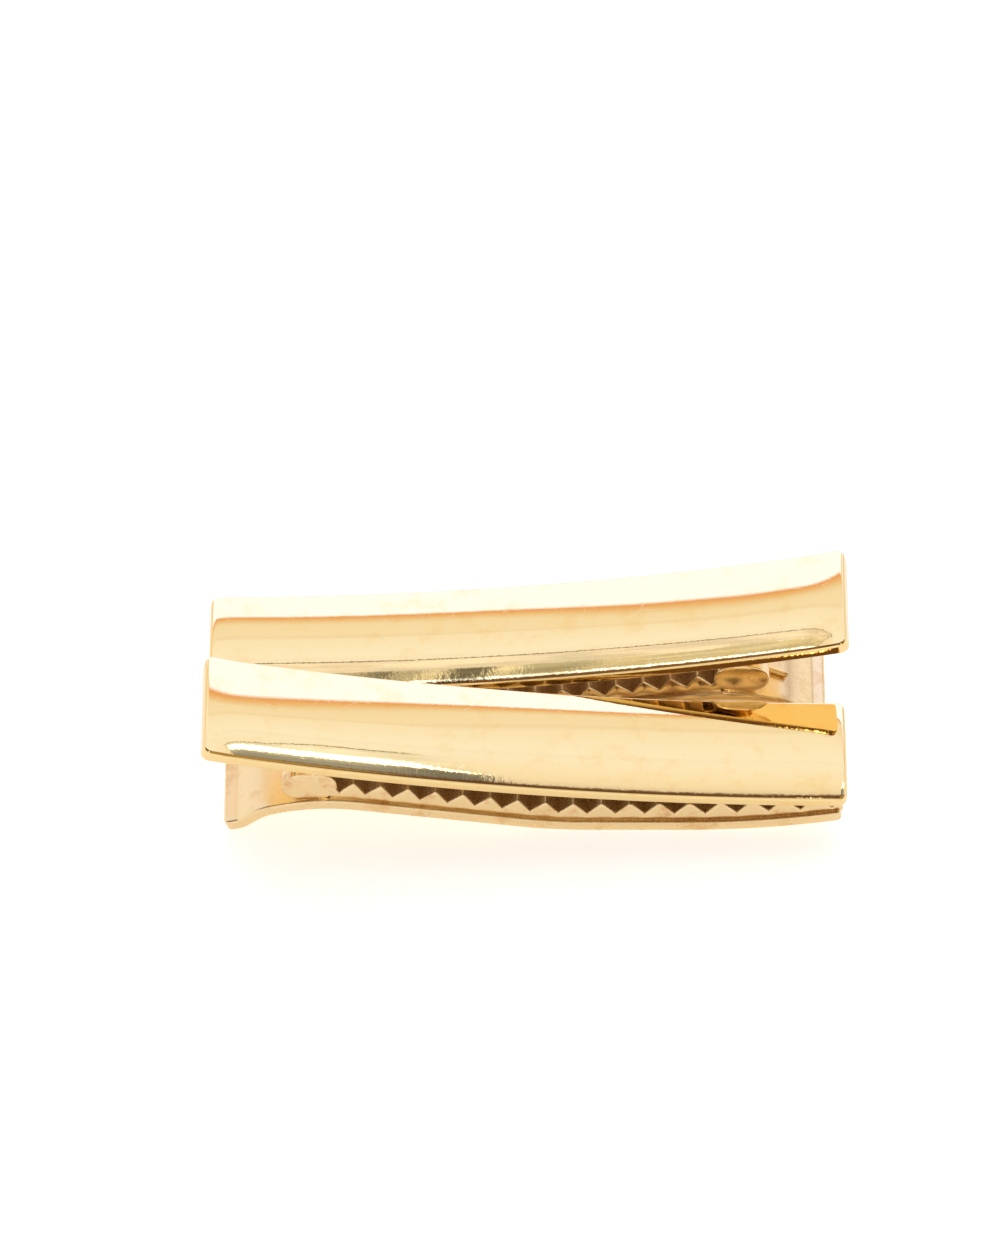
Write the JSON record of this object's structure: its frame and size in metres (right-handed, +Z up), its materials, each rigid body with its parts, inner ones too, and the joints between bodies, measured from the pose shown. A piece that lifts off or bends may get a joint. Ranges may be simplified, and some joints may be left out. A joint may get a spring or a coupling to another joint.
{
  "type": "spring clip",
  "caption": "Pair of slim gold-plated sprung clips with toothed jaws and bent thumb ends, lying head to tail",
  "frame": {"origin": "on the table under the middle of the pair's bounding box", "axes": "+X along the clips, towards the front clip's tip; +Y from the front clip to the rear clip; +Z up"},
  "size_m": [0.0706, 0.0278, 0.0149],
  "materials": {
    "polished_gold": "gold-plated brass, mirror polished",
    "hinge_gold": "gold-plated brass, satin",
    "strip_gold": "gold-plated brass, polished, hazy inside",
    "cast_gold": "gold-plated casting, polished side faces, rough notches",
    "pin_steel": "plain steel wire",
    "spring_wire": "gold-plated spring wire"
  },
  "bodies": {
    "front_base": {"front_clip_bottom_plate": "strip_gold", "front_clip_toothed_jaw": "cast_gold", "front_clip_hinge_pin": "pin_steel", "front_clip_spring": "spring_wire"},
    "front_top": {"front_clip_top_plate": "polished_gold", "front_clip_hinge_bracket": "hinge_gold"},
    "rear_base": {"rear_clip_bottom_plate": "strip_gold", "rear_clip_toothed_jaw": "cast_gold", "rear_clip_hinge_pin": "pin_steel", "rear_clip_spring": "spring_wire"},
    "rear_top": {"rear_clip_top_plate": "polished_gold", "rear_clip_hinge_bracket": "hinge_gold"}
  },
  "joints": [
    {"name": "front_clip_hinge", "type": "hinge", "parent": "front_base", "child": "front_top", "pos_m": [-0.024, -0.0073, 0.00757], "axis": [0, -1, 0], "range_deg": [0, 60], "stiffness_Nm_per_rad": 0.2, "springref_deg": -28.65, "deforming": ["front_clip_spring"]},
    {"name": "rear_clip_hinge", "type": "hinge", "parent": "rear_base", "child": "rear_top", "pos_m": [0.024, 0.0073, 0.00757], "axis": [0, 1, 0], "range_deg": [0, 60], "stiffness_Nm_per_rad": 0.2, "springref_deg": -28.65, "deforming": ["rear_clip_spring"]},
    {"name": "rear_clip_lift", "type": "slide", "parent": "front_base", "child": "rear_base", "axis": [0, 0, 1], "range_m": [0, 0.04]}
  ]
}
